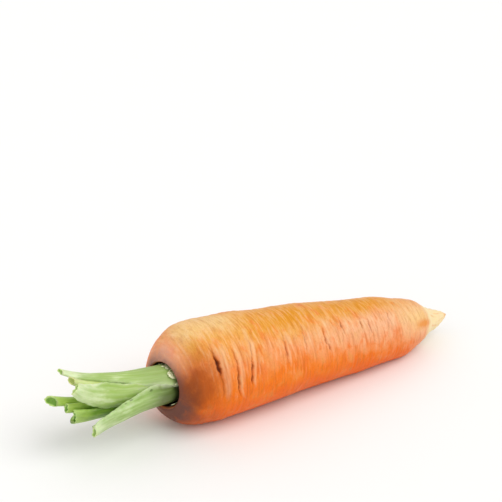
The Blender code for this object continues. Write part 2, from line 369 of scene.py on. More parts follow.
def creaseField(rng, distance, clock):
    # returns the height, how dark a slit each point is in (partly painted shade), and how strong the painted
    # highlight on its lips is
    height = np.zeros(np.broadcast(distance, clock).shape)
    slit = np.zeros_like(height)
    shine = np.zeros_like(height)
    nearHeight, farHeight = rootRelief["creaseLips"]
    (wave, often), (ripple, oftener) = rootRelief["creaseWaves"]
    widest = rootRelief["gapeWidestAt"]
    for route, depth, width, gape in allCreases(rng):
        middle = (route[0][0] + route[-1][0]) / 2.0
        half = (route[-1][0] - route[0][0]) / 2.0
        turn = turnBetween(clock, middle)
        line = distance - curveThrough(route, middle + np.clip(turn, -half, half))
        line = line + wave * np.sin(turn * often + middle) + ripple * np.sin(turn * oftener + depth * 40.0)
        reach = smoothStep(1.2, 0.55, np.abs(turn) / half)
        cut = bellCurve(line, 0.0, width) * reach
        nearLip = bellCurve(line, -2.1 * width, 1.5 * width)
        farLip = bellCurve(line, 2.5 * width, 1.8 * width)
        height += depth * (nearHeight * nearLip * reach + farHeight * farLip * reach - cut)
        # painted highlight on the raised lips of the crease
        shine = np.maximum(shine, (0.3 * nearLip + farLip) * reach * min(depth / 0.4, 1.0))
        # a thin dark line along each crease: painted shade in the crease
        thinLine = bellCurve(line, 0.0, 0.6 * width) * reach**2
        slit = np.maximum(slit, rootRelief["slitShade"] * thinLine * min(depth / 0.45, 1.0))
        if gape:
            # pointed at both ends
            start, end, openness = gape
            gapeTurn = turnBetween(clock, start + widest * (end - start)) / (end - start)
            gapeTurn = np.where(gapeTurn < 0.0, -gapeTurn / widest, gapeTurn / (1.0 - widest))
            narrowed = width * (0.30 + 0.70 * smoothStep(1.0, 0.2, gapeTurn))
            narrowed = narrowed * (1.0 + 0.3 * np.sin(turn * 0.9 + middle))
            opening = openness * bellCurve(line, 0.0, narrowed) * smoothStep(1.05, 0.45, gapeTurn)
            lips = openness * (nearLip + farLip) * smoothStep(1.6, 0.4, gapeTurn)
            height += rootRelief["lipHeight"] * lips - rootRelief["gapeDepth"] * opening
            slit = np.maximum(slit, opening)
    for place, middle, width, span in rootRelief["highlightSpots"]:
        shine = np.maximum(shine, bellCurve(distance, place, width) * facing(clock, middle, span))
    return height, slit, shine


def ringField(rng, distance, clock):
    # faint swellings every few mm that come and go round the root
    field = np.zeros(np.broadcast(distance, clock).shape)
    for _ in range(rootRelief["ringWaves"]):
        waveLength = rng.uniform(*rootRelief["ringSpacing"])
        phase = rng.uniform(0.0, 2.0 * math.pi, 4)
        drift = rng.uniform(*rootRelief["ringDrift"])
        drift = drift * np.sin(np.radians(clock) * rng.integers(1, 4) + phase[0])
        comesAndGoes = 0.5 + 0.5 * np.sin(np.radians(clock) * rng.integers(1, 4) + distance / 17.0 + phase[1])
        field += comesAndGoes * np.sin(2.0 * math.pi * distance / waveLength + drift + phase[2])
    return rootRelief["ringHeight"] * field / 2.5


def nubRing(clock):
    # where the root's body ends and the nub begins
    turns = np.radians(clock)
    ragged = sum(height * np.sin(turns * cycles + phase) for height, cycles, phase in rootRelief["nubRagged"])
    tilt, towards = rootRelief["nubTilt"]
    return rootRelief["nubStart"] + tilt * np.cos(turns - math.radians(towards)) + ragged


def gridFaces(rows, columns):
    # the faces between closed rings of points, one ring after another
    faces = []
    for i in range(rows - 1):
        for j in range(columns):
            after = (j + 1) % columns
            here = i * columns
            ahead = here + columns
            faces.append((here + j, here + after, ahead + after, ahead + j))
    return faces


def skinDistances():
    # ring places spaced evenly along the outline, so the blunt crown gets its share
    fine = np.linspace(crestAt, rootLength, 6000)
    steps = np.hypot(np.diff(fine), np.diff(rootRadius(fine)))
    along = np.concatenate([[0.0], np.cumsum(steps)])
    return np.interp(np.linspace(0.0, along[-1], rootRelief["rings"]), along, fine)


def outwardFrom(surface):
    # the direction straight out of a surface of rings, at each point
    alongStep = np.gradient(surface, axis=0)
    roundStep = (np.roll(surface, -1, axis=1) - np.roll(surface, 1, axis=1)) / 2.0
    normal = np.cross(roundStep, alongStep)
    return normal / (np.linalg.norm(normal, axis=-1, keepdims=True) + 1e-12)


def skinRelief(distance, clock):
    # how far the grown skin stands off the plain one, and how strong its folds, slits and painted lip
    # highlights are
    rng = np.random.default_rng(rootRelief["seed"])
    lobes = lobeField(rng, distance, clock)
    wrinkles, fold = wrinkleField(rng, distance, clock)
    creases, slit, shine = creaseField(rng, distance, clock)
    rings = ringField(rng, distance, clock)
    body = smoothStep(*rootRelief["bodyFadesIn"], distance)
    body = body * smoothStep(*rootRelief["bodyFadesOut"], distance)
    place, middle, swell, length, span = rootRelief["shoulder"]
    shoulder = swell * bellCurve(distance, place, length) * facing(clock, middle, span)
    width, depth, deeper = rootRelief["notch"]
    notch = depth + deeper * facing(clock, *rootRelief["notchSide"])
    notch = bellCurve(distance - nubRing(clock), 0.0, width) * notch
    coarse, fine = rootRelief["nubRidges"]
    nubRidges = coarse * np.sin(np.radians(clock) * 7.0 + distance / 2.0)
    nubRidges = nubRidges + fine * np.sin(distance * 2.1 + clock / 40.0)
    nubRidges = nubRidges * smoothStep(*rootRelief["nubRidgesFrom"], distance)
    middle, span, lost = rootRelief["calmSide"]
    calm = 1.0 - lost * facing(clock, middle, span)
    height = body * (lobes + calm * (wrinkles + rings)) + calm * creases + shoulder - notch + nubRidges
    tipStart, tipEnd = rootRelief["tipFades"]
    height *= smoothStep(rootLength + tipStart, rootLength + tipEnd, distance)
    return height, np.clip(fold * body, 0.0, 1.0), np.clip(slit, 0.0, 1.0), np.clip(shine, 0.0, 1.0)


def pitSurface(clock):
    # the pit inside the crest, from its floor out to the rim, and how much painted shade it gets there
    deepest = rootShape["pitDepth"]
    depths = np.linspace(0.0, deepest, rootRelief["pitWallRings"] + 1)[1:, None]
    wallMiddle = [pitMiddle[0] + depths, pitMiddle[1], pitMiddle[2]]
    ragged = rootRelief["pitRagged"] * np.sin(np.radians(clock) * 7.0 + depths) * smoothStep(0.0, 2.0, depths)
    middle, span, standsIn = rootRelief["pitLip"]
    lip = standsIn * facing(clock, middle, span) * smoothStep(0.0, 0.9, depths)
    wall = rootPoints(wallMiddle, curveThrough(rootShape["pitRadii"], depths) + ragged - lip, clock, 1.0)
    shares = np.linspace(1.0, 0.12, rootRelief["pitFloorRings"] + 1)[1:, None]
    floorMiddle = [pitMiddle[0] + deepest, pitMiddle[1], pitMiddle[2]]
    floor = rootPoints(floorMiddle, (rootShape["pitRadii"][-1][1] - lip[-1]) * shares, clock, 1.0)
    shade = np.concatenate([smoothStep(0.1, 1.3, depths), np.ones_like(shares)])
    return np.concatenate([wall, floor])[::-1], shade[::-1]


# Where each colour of the skin shows. A side is (clock, half span in degrees), a stretch is (from, to) and a
# band is (middle, half length), both in mm behind the crown. A third number is how strong it is.
skinZones = {
    "duskSides": [(222, 36, 1.0), (264, 34, 1.3)],  # dark purple-brown skin round the pit, most of it below: partly its own colour and partly painted shade
    "duskBehind": (48, 30),
    "duskSpread": (1.2, 4.3, 0.8),  # mm everywhere, and how much more below and behind
    "duskStrength": (0.66, 0.40),
    "blushSide": (80, 50),  # pink skin on top, next to the pit
    "blushSpread": 4.0,
    "tanSides": [(166, 38, 1.0), (222, 34, 0.75)],  # brown skin on the near shoulder: partly its own colour and partly painted shade on the crown face turned from the light
    "tanStretch": (27.0, 4.0),
    # painted shadow along the rim on the near side
    "rimBrownSide": (176, 32),
    "rimBrownBand": (2.8, 4.0),
    "paleSide": (139, 27.0),  # salmon skin on the near side, wider below towards the tip: partly its own colour and partly painted highlight from above and in front
    "paleWiderBelow": 17.0,
    "paleWidens": (62.0, 122.0),
    "paleFarSide": (318, 34, 0.8),
    "paleStarts": (17.0, 32.0),
    "paleGrows": (45.0, 112.0),
    "paleLeast": 0.25,
    "paleEnd": (118.0, 142.0, 0.6),
    "goldSide": (108.0, 22.0),  # patches of amber along the top
    "goldTurns": -0.12,  # degrees for each mm along the root
    "goldBands": [(62.0, 12.0, 1.0), (102.0, 17.0, 1.0), (10.5, 3.0, 0.8)],
    "goldLeast": 0.25,
    "goldEnds": (126.0, 108.0),
    "creamSide": (88, 26),  # pale skin on top of the shoulder, and again near the tip
    "creamStarts": (4.0, 10.0),
    "creamEnds": (48.0, 24.0),
    "creamTipSide": (138, 33, 0.75),
    "creamTipStretch": (112.0, 134.0),
    "nubStretch": (-5.5, 2.6),  # from the ring where the nub begins
    "nubFibreStretch": (-1.0, 5.0),
    "stainSide": (159, 10),  # one brown spot beside the nub
    "stainBand": (137.8, 5.4),
    "ringStain": (0.28, 0.22),
    "ringStainBand": (-0.8, 1.6),
    "tipStain": (157.5, 161.5, 0.6),
    "rimShade": 0.1,
}


def strongest(clock, sides):
    # the strongest of several sides at each clock angle
    amounts = [strength * facing(clock, middle, span) for middle, span, strength in sides]
    return np.maximum(*amounts)


def skinMarks(distance, clock):
    # how much of each of the skin's colours shows at each point
    zones = skinZones
    edge = distance - crestAt
    ringLine = distance - nubRing(clock)

    under = strongest(clock, zones["duskSides"])
    everywhere, below, behind = zones["duskSpread"]
    spread = everywhere + below * under + behind * facing(clock, *zones["duskBehind"])
    least, more = zones["duskStrength"]
    dusk = np.exp(-((edge / spread) ** 1.5)) * (least + more * np.minimum(under, 1.0))
    blush = np.exp(-edge / zones["blushSpread"]) * facing(clock, *zones["blushSide"])
    tan = smoothStep(*zones["tanStretch"], edge) * strongest(clock, zones["tanSides"])
    rimShadowBrown = bellCurve(edge, *zones["rimBrownBand"]) * facing(clock, *zones["rimBrownSide"])

    middle, span = zones["paleSide"]
    wider = zones["paleWiderBelow"] * smoothStep(*zones["paleWidens"], distance)
    front = facing(clock, middle, np.where(turnBetween(clock, middle) > 0.0, span + wider, span))
    farMiddle, farSpan, strength = zones["paleFarSide"]
    away = strength * facing(clock, farMiddle, farSpan)
    grows = zones["paleLeast"] + (1.0 - zones["paleLeast"]) * smoothStep(*zones["paleGrows"], distance)
    pale = (front + away) * grows * smoothStep(*zones["paleStarts"], distance)
    start, end, strength = zones["paleEnd"]
    pale = pale + strength * smoothStep(start, end, distance)

    middle, span = zones["goldSide"]
    bands = zones["goldBands"]
    sunned = sum(strength * bellCurve(distance, place, length) for place, length, strength in bands)
    gold = facing(clock, middle + zones["goldTurns"] * distance, span)
    gold = gold * (zones["goldLeast"] + (1.0 - zones["goldLeast"]) * sunned)
    gold = gold * smoothStep(*zones["goldEnds"], distance)
    cream = facing(clock, *zones["creamSide"]) * smoothStep(*zones["creamStarts"], distance)
    cream = cream * smoothStep(*zones["creamEnds"], distance)
    middle, span, strength = zones["creamTipSide"]
    cream = cream + strength * smoothStep(*zones["creamTipStretch"], distance) * facing(clock, middle, span)

    turns = np.radians(clock + 9.0 * np.sin(distance / 3.1))
    nubFibre = np.sin(turns * 7.0 + distance / 5.0) + np.sin(turns * 16.0 - distance / 2.2)
    nubFibre = (0.5 + 0.25 * nubFibre) * smoothStep(*zones["nubFibreStretch"], ringLine)
    stain = bellCurve(distance, *zones["stainBand"]) * facing(clock, *zones["stainSide"])
    least, more = zones["ringStain"]
    ringStain = least + more * np.sin(np.radians(clock) * 3.0 + 0.4)
    start, end, strength = zones["tipStain"]
    stain = stain + ringStain * bellCurve(ringLine, *zones["ringStainBand"])
    stain = stain + strength * smoothStep(start, end, distance)
    return {
        "pale": pale,
        "gold": gold,
        "cream": cream,
        "dusk": dusk,
        "blush": blush,
        "tan": tan,
        "rimShadowBrown": rimShadowBrown,
        "nub": smoothStep(*zones["nubStretch"], ringLine),
        "nubFibre": nubFibre,
        "stain": np.clip(stain, 0.0, 1.0),
        "pit": smoothStep(0.5, 0.0, edge) * zones["rimShade"],
    }


def makeRoot(material):
    segments = rootRelief["segments"]
    clock = np.linspace(0.0, 360.0, segments, endpoint=False)[None, :]
    distance = skinDistances()[:, None]
    plain = rootSkin(distance, clock)
    normal = outwardFrom(plain)
    height, fold, slit, shine = skinRelief(distance, clock)
    skin = plain + normal * height[..., None]
    skin[..., 2] = np.maximum(skin[..., 2], rootRelief["lowestSkin"])
    pit, pitShade = pitSurface(clock)

    rows = np.concatenate([pit, skin])
    points = np.concatenate([rows.reshape(-1, 3), [pit[0].mean(axis=0)], [skin[-1].mean(axis=0)]])
    points[-1][0] += 0.25  # the tip's own point
    faces = gridFaces(len(rows), segments)
    crownEnd = len(points) - 2
    tipEnd = len(points) - 1
    lastRow = (len(rows) - 1) * segments
    for j in range(segments):
        after = (j + 1) % segments
        faces.append((crownEnd, after, j))
        faces.append((tipEnd, lastRow + j, lastRow + after))

    marks = {"fold": fold, "slit": slit, "shine": shine, "skyward": normal[..., 2]}
    marks.update(skinMarks(distance, clock))
    inPit = {"dusk": 0.6, "pit": pitShade}
    atTip = {"nub": 1.0}
    attributes = {}
    for key, values in marks.items():
        pitPart = np.broadcast_to(inPit.get(key, 0.0), (len(pit), segments))
        whole = np.concatenate([pitPart, np.broadcast_to(values, (len(skin), segments))])
        attributes[key] = np.concatenate([whole.ravel(), [np.max(pitPart), atTip.get(key, 0.0)]])
    return meshObject("carrotRoot", points * mm + crownShift, faces, material, attributes)


# Each stalk stands at a clock angle round the crown and a reach from its middle. The route is two pull
# points and an end, as (out of the crown, sideways, up) from the crown's middle. Sections are (share of the
# length, width, thickness, curl radius). The cut end slants by so much for each mm across, and the stalk
# rolls by so many degrees on its way out.
stalkDesigns = {
    "stalk_top": {
        "clock": 97, "reach": 8.3, "route": ((17, 0, 7.0), (30, 5, 8.0), (42.5, 8, 14.2)),
        "sections": ((0, 18.5, 1.9, 8.2), (0.22, 14.0, 2.3, 7.8), (0.4, 8.6, 2.4, 6.0), (0.62, 5.6, 2.4, 4.5),
                     (1, 3.3, 2.0, 3.0)),
        "slant": 0.7, "roll": 0, "ribs": 7, "finish": "pale",
    },
    "stalk_inner": {
        "clock": 95, "reach": 5.0, "route": ((16, 0.5, 3.3), (30, 0.5, 5.2), (41.0, 0.5, 13.2)),
        "sections": ((0, 6.2, 1.8, 5.0), (0.45, 4.8, 2.4, 5.0), (1, 4.2, 2.8, 3.0)),
        "slant": 0.3, "roll": 0, "ribs": 4, "finish": "yellow",
    },
    "stalk_broad": {
        "clock": 170, "reach": 4.9, "route": ((15, -6.9, 0.9), (36, -8.6, 6.0), (42.5, -6, 12.8)),
        "sections": ((0, 7.0, 1.8, 4.9), (0.3, 9.4, 2.1, 6.0), (0.6, 12.4, 2.5, 6.5), (0.85, 8.8, 2.5, 4.0),
                     (1, 5.6, 2.6, 3.0)),
        "slant": 0.0, "roll": 0, "ribs": 6, "finish": "pale",
    },
    "stalk_long": {
        "clock": 345, "reach": 4.9, "route": ((16, 3.4, -2.4), (33, 4.4, -2.0), (49.7, 2.5, 5.0)),
        "sections": ((0, 7.0, 1.6, 4.9), (0.5, 5.8, 3.0, 4.0), (1, 6.2, 4.2, 3.0)),
        "slant": 0.34, "roll": 100, "ribs": 5, "finish": "green",
    },
    "stalk_core": {
        "clock": 200, "reach": 0.6, "route": ((16, -0.6, -2.6), (31, -1.4, -1.6), (45.3, -1.9, 2.3)),
        "sections": ((0, 4.4, 3.0, 4.0), (0.5, 4.6, 2.8, 4.0), (1, 4.8, 3.2, 3.0)),
        "slant": 0.1, "roll": 0, "ribs": 5, "finish": "green",
    },
    "stalk_under": {
        "clock": 255, "reach": 4.9, "route": ((15, -2.5, -5.9), (30, -4.8, -5.6), (43.4, -5.4, -0.8)),
        "sections": ((0, 7.0, 1.6, 4.9), (0.4, 9.5, 2.2, 6.0), (0.75, 9.0, 2.8, 7.0), (1, 8.4, 3.4, 8.0)),
        # this stalk wears a darker copy of the green flesh: painted shade on its underside
        "slant": 0.45, "roll": -46, "ribs": 6, "finish": "shadedGreen",
    },
    "stalk_side": {
        "clock": 213, "reach": 7.0, "route": ((14, -10.0, -2.0), (27, -12.4, -2.5), (38.5, -13.5, -5.4)),
        "sections": ((0, 14.0, 1.8, 6.7), (0.2, 19.0, 2.1, 8.2), (0.42, 14.0, 2.4, 7.5), (0.7, 9.2, 2.5, 6.0),
                     (1, 6.0, 2.5, 3.5)),
        "slant": -0.35, "roll": -24, "ribs": 8, "finish": "sheath", "fray": 0.20,
        # torn spots, as (share of the length, place across, length, breadth)
        "nicks": ((0.285, 0.80, 0.018, 0.07), (0.50, 0.90, 0.024, 0.05), (0.57, 0.86, 0.020, 0.04)),
    },
    "stalk_back": {
        "clock": 325, "reach": 7.9, "route": ((10, 8, -5), (20, 10.4, -5), (28, 11.6, -6)),
        "sections": ((0, 25.0, 1.8, 7.9), (0.25, 17.5, 2.1, 7.8), (0.55, 9.4, 2.3, 7.0), (1, 5.7, 2.7, 4.0)),
        "slant": 0.2, "roll": 0, "ribs": 7, "finish": "pale",
    },
}
stalkFinish = {
    "firstSeed": 20,
    "rings": 150,
    "sidePoints": 44,
    "footDepth": 3.0,  # where a stalk's own curve starts, below the crown
    "edgeFullness": 2.6,
    "ribHeight": 0.08,
    "ribFadesTo": 0.35,
    "marginLip": 0.22,  # the raised edge that runs along each side of a stalk
    # the cut end, from its rim inwards: (share of the width, of the thickness, depth, how far in it is)
    "cutRim": ((0.95, 0.86, 0.02, 0.45), (0.88, 0.55, -0.45, 0.85), (0.80, 0.18, -0.80, 1.0)),
    "raggedness": 0.3,
    "nickDepth": 0.5,
    "fray": 0.10,  # how far the thin margins wander in and out
    "frayWaves": (41.0, 97.0),
    "swells": ((0.03, 9.0), (0.02, 21.0)),  # how the width comes and goes: (share of it, how often)
    "sway": 0.12,
    "footGap": 0.1,
    "darkInPit": (0.8, -2.6),  # out of the crown's plane, where a stalk darkens with dirt and painted shade
    "innerOffset": 30.0,  # keeps the fibres of the inner face from mirroring the outer face's
    # share of the length where the painted shade on the foot ends
    "shadedTo": {"pale": 0.42, "sheath": 0.42, "yellow": 0.5, "green": 0.95, "shadedGreen": 0.95},
    "slots": {"pale": "stalk_pale", "sheath": "stalk_pale", "yellow": "stalk_pale", "green": "stalk_green",
              "shadedGreen": "stalk_green"},
}


def aroundCrown(clock):
    return math.cos(math.radians(clock)) * crownAcross + math.sin(math.radians(clock)) * crownRise


def bezierAt(path, t):
    a, b, c, d = path
    point = (1 - t) ** 3 * a + 3 * (1 - t) ** 2 * t * b + 3 * (1 - t) * t * t * c + t**3 * d
    heading = (1 - t) ** 2 * (b - a) + 2 * (1 - t) * t * (c - b) + t * t * (d - c)
    return point, heading / np.linalg.norm(heading)


def stalkSection(width, thickness, curl, ribs, ribHeight):
    # a rounded bar bent to a gutter: the outer face with its ribs, then back along the inner face
    count = stalkFinish["sidePoints"]
    across = -np.cos(np.linspace(0.0, math.pi, count + 1))
    angle = across * width / 2.0 / curl
    half = thickness / 2.0 * (1.0 - np.abs(across) ** stalkFinish["edgeFullness"]).clip(0.0) ** 0.5
    inside = 1.0 - np.abs(across) ** 4
    rib = np.abs(np.sin(across * ribs * math.pi / 2.0)) ** 0.7 - 0.6
    lip = stalkFinish["marginLip"] * bellCurve(np.abs(across), 0.88, 0.08)
    lip = lip * min(ribHeight / stalkFinish["ribHeight"], 1.0)
    outerR = curl + half + ribHeight * rib * inside + lip
    innerR = np.maximum(curl - half + 0.35 * ribHeight * rib * inside, 0.2)
    outer = np.stack([outerR * np.sin(angle), outerR * np.cos(angle) - curl], -1)
    inner = np.stack([innerR * np.sin(angle), innerR * np.cos(angle) - curl], -1)
    return np.concatenate([outer, inner[-2:0:-1]]), across, rib * inside


def bothFaces(values):
    # values across the outer face, and then back along the inner face
    return np.concatenate([values, values[-2:0:-1]])


def makeStalk(name, design, material, seed):
    rng = np.random.default_rng(seed)
    rings = stalkFinish["rings"]
    foot = pitMiddle - stalkFinish["footDepth"] * crownOut + design["reach"] * aroundCrown(design["clock"])
    path = [foot] + [crownMiddle + np.array([-out, side, up]) for out, side, up in design["route"]]
    shares = [s[0] for s in design["sections"]]
    waves = rng.uniform(0.0, 2.0 * math.pi, 6)
    alongPath = np.array([bezierAt(path, t)[0] for t in np.linspace(0.0, 1.0, 60)])
    pathLength = np.linalg.norm(np.diff(alongPath, axis=0), axis=1).sum()
    rows = []
    marks = {}
    count = stalkFinish["sidePoints"]
    pointsRound = 2 * count
    innerMask = np.concatenate([np.zeros(count + 1), np.ones(count - 1)])

    def addRow(t, widthShare, thickShare, push, cut):
        # one ring of points round the stalk at a share t of its length, with what the material reads there
        point, heading = bezierAt(path, t)
        outward = aroundCrown(design["clock"] + design["roll"] * t)
        outward = outward - heading * outward.dot(heading)
        outward /= np.linalg.norm(outward)
        sideways = np.cross(heading, outward)
        width, thickness, curl = (np.interp(t, shares, [s[k] for s in design["sections"]]) for k in (1, 2, 3))
        uneven = 1.0
        for (swell, often), wave in zip(stalkFinish["swells"], waves):
            uneven += swell * math.sin(often * t + wave)
        ribHeight = stalkFinish["ribHeight"] * (1.0 - (1.0 - stalkFinish["ribFadesTo"]) * t)
        section, across, rib = stalkSection(width * uneven * widthShare, thickness * thickShare, curl,
                                            design["ribs"], ribHeight * min(thickShare, 1.0))
        sway = stalkFinish["sway"] * math.sin(13.0 * t + waves[2])
        torn = np.zeros(len(across))
        for nickAt, nickAcross, length, breadth in design.get("nicks", ()):
            torn = np.maximum(torn, bellCurve(t, nickAt, length) * bellCurve(across, nickAcross, breadth))
        torn = np.concatenate([torn, np.zeros(len(section) - len(torn))])
        section[:, 1] -= stalkFinish["nickDepth"] * torn
        slow, quick = stalkFinish["frayWaves"]
        frayed = design.get("fray", stalkFinish["fray"])
        frayed = frayed * (math.sin(slow * t + waves[5]) + 0.6 * math.sin(quick * t))
        section[:, 0] += frayed * smoothStep(0.7, 1.0, np.abs(section[:, 0]) / np.abs(section[:, 0]).max())
        ends = 0.0 if t < 1.0 else 1.0
        lean = ends * (design["slant"] * section[:, 0]
                       + stalkFinish["raggedness"] * np.sin(section[:, 0] * 3.1 + waves[3])
                       * np.cos(section[:, 1] * 2.3 + waves[4]))
        row = (point + section[:, :1] * sideways + (section[:, 1:] + sway) * outward
               + (lean + push)[:, None] * heading)
        rows.append(row)
        edge = np.abs(across) ** 4 * (1.0 - 0.6 * t)
        acrossWidth = bothFaces(across) * width / 2.0 + stalkFinish["innerOffset"] * innerMask
        here = {"alongStalk": t, "fibreAcross": acrossWidth, "rib": bothFaces(rib), "margin": bothFaces(edge),
                "cutEnd": cut, "nick": torn}
        for key, values in here.items():
            marks.setdefault(key, []).append(np.broadcast_to(values, pointsRound))

    for i in range(rings):
        addRow(i / rings, 1.0, 1.0, 0.0, 0.0)
    addRow(1.0, 1.0, 1.0, 0.0, 0.25)
    for widthShare, thickShare, push, inside in stalkFinish["cutRim"]:
        addRow(1.0, widthShare, thickShare, push, inside)
    off = rows[0] - pitMiddle
    rows[0][:, 0] = (pitMiddle[0] + rootShape["pitDepth"] - stalkFinish["footGap"]
                     + rootShape["crownLean"] * off[:, 2] - rootShape["crownTurn"] * off[:, 1])

    faces = gridFaces(len(rows), pointsRound)
    last = (len(rows) - 1) * pointsRound
    for i in range(count):
        mirror = [(pointsRound - k) % pointsRound for k in (i, i + 1)]
        ring = list(dict.fromkeys([i, i + 1, mirror[1], mirror[0]]))
        faces.append(tuple(reversed(ring)))
        faces.append(tuple(last + k for k in ring))
    points = np.concatenate(rows)
    attributes = {key: np.concatenate(values) for key, values in marks.items()}
    share = attributes["alongStalk"]
    attributes["nearFoot"] = smoothStep(stalkFinish["shadedTo"][design["finish"]], 0.06, share)
    attributes["fibreAlong"] = share * pathLength + 100.0 * seed
    attributes["innerFace"] = np.tile(innerMask, len(rows))
    attributes["sunk"] = smoothStep(*stalkFinish["darkInPit"], (points - pitMiddle) @ crownOut)
    pieceName = "leafStalk_" + name.split("_")[1]
    return meshObject(pieceName, points * mm + crownShift, faces, material, attributes)


dryScales = {
    "seed": 5,
    # (clock, width, how far it stands out of the pit, lean outwards)
    "flakes": [(123, 6.6, 1.7, 0.1), (99, 3.2, 0.5, 0.1), (86, 2.6, 0.9, 0.0), (213, 1.0, 1.1, 0.3),
               (64, 3.0, -0.6, 0.2), (25, 4.5, 0.6, 0.2), (345, 3.6, 0.2, 0.2), (300, 4.2, 0.6, 0.3),
               (238, 7.5, -1.3, 0.1), (262, 3.2, -2.6, 0.2), (152, 2.0, 0.3, 0.1), (175, 3.0, -1.6, 0.2)],
    "thickness": 0.16,
    "reach": 9.3,  # how far from the crown's middle they stand
    "footDepth": 5.2,
    "narrowing": 0.55,  # share of the width lost at the tip
    "raggedTip": 0.25,
    "roundTip": 0.35,
    "rowsUp": 14,
    "columns": 10,
}


def makeDryScales(material):
    rng = np.random.default_rng(dryScales["seed"])
    allPoints = []
    allFaces = []
    tipValues = []
    rowsUp = dryScales["rowsUp"]
    columns = dryScales["columns"]
    footDepth = dryScales["footDepth"]
    start = 0
    for clock, width, standsOut, lean in dryScales["flakes"]:
        waves = rng.uniform(0.0, 2.0 * math.pi, 3)
        for side in (0, 1):
            for i in range(rowsUp):
                up = i / (rowsUp - 1)
                for j in range(columns):
                    across = 2.0 * j / (columns - 1) - 1.0
                    narrowing = 1.0 - dryScales["narrowing"] * up**2
                    ragged = dryScales["raggedTip"] * math.sin(across * 7.0 + waves[0]) * up**2
                    turn = clock + math.degrees(across * width / 2.0 * narrowing / dryScales["reach"])
                    tip = standsOut + ragged - dryScales["roundTip"] * across**2
                    out = -footDepth + (footDepth + tip) * up
                    reach = (dryScales["reach"] + lean * up**2 * 1.1 + 0.12 * math.sin(6.0 * up + waves[1])
                             + side * dryScales["thickness"])
                    allPoints.append(pitMiddle + crownOut * out + reach * aroundCrown(turn))
                    tipValues.append(up * min(1.0, 0.8 + 0.2 * standsOut))
        inward = start
        outward = start + rowsUp * columns
        for i in range(rowsUp - 1):
            for j in range(columns - 1):
                a = i * columns + j
                quad = (a, a + 1, a + columns + 1, a + columns)
                allFaces.append(tuple(inward + k for k in quad))
                allFaces.append(tuple(outward + k for k in reversed(quad)))
        border = ([j for j in range(columns)]
                  + [i * columns + columns - 1 for i in range(1, rowsUp)]
                  + [(rowsUp - 1) * columns + j for j in range(columns - 2, -1, -1)]
                  + [i * columns for i in range(rowsUp - 2, 0, -1)])
        for k, here in enumerate(border):
            after = border[(k + 1) % len(border)]
            allFaces.append((inward + after, inward + here, outward + here, outward + after))
        start += 2 * rowsUp * columns
    points = np.array(allPoints) * mm + crownShift
    return meshObject("dryScales", points, allFaces, material, {"scaleTip": tipValues})


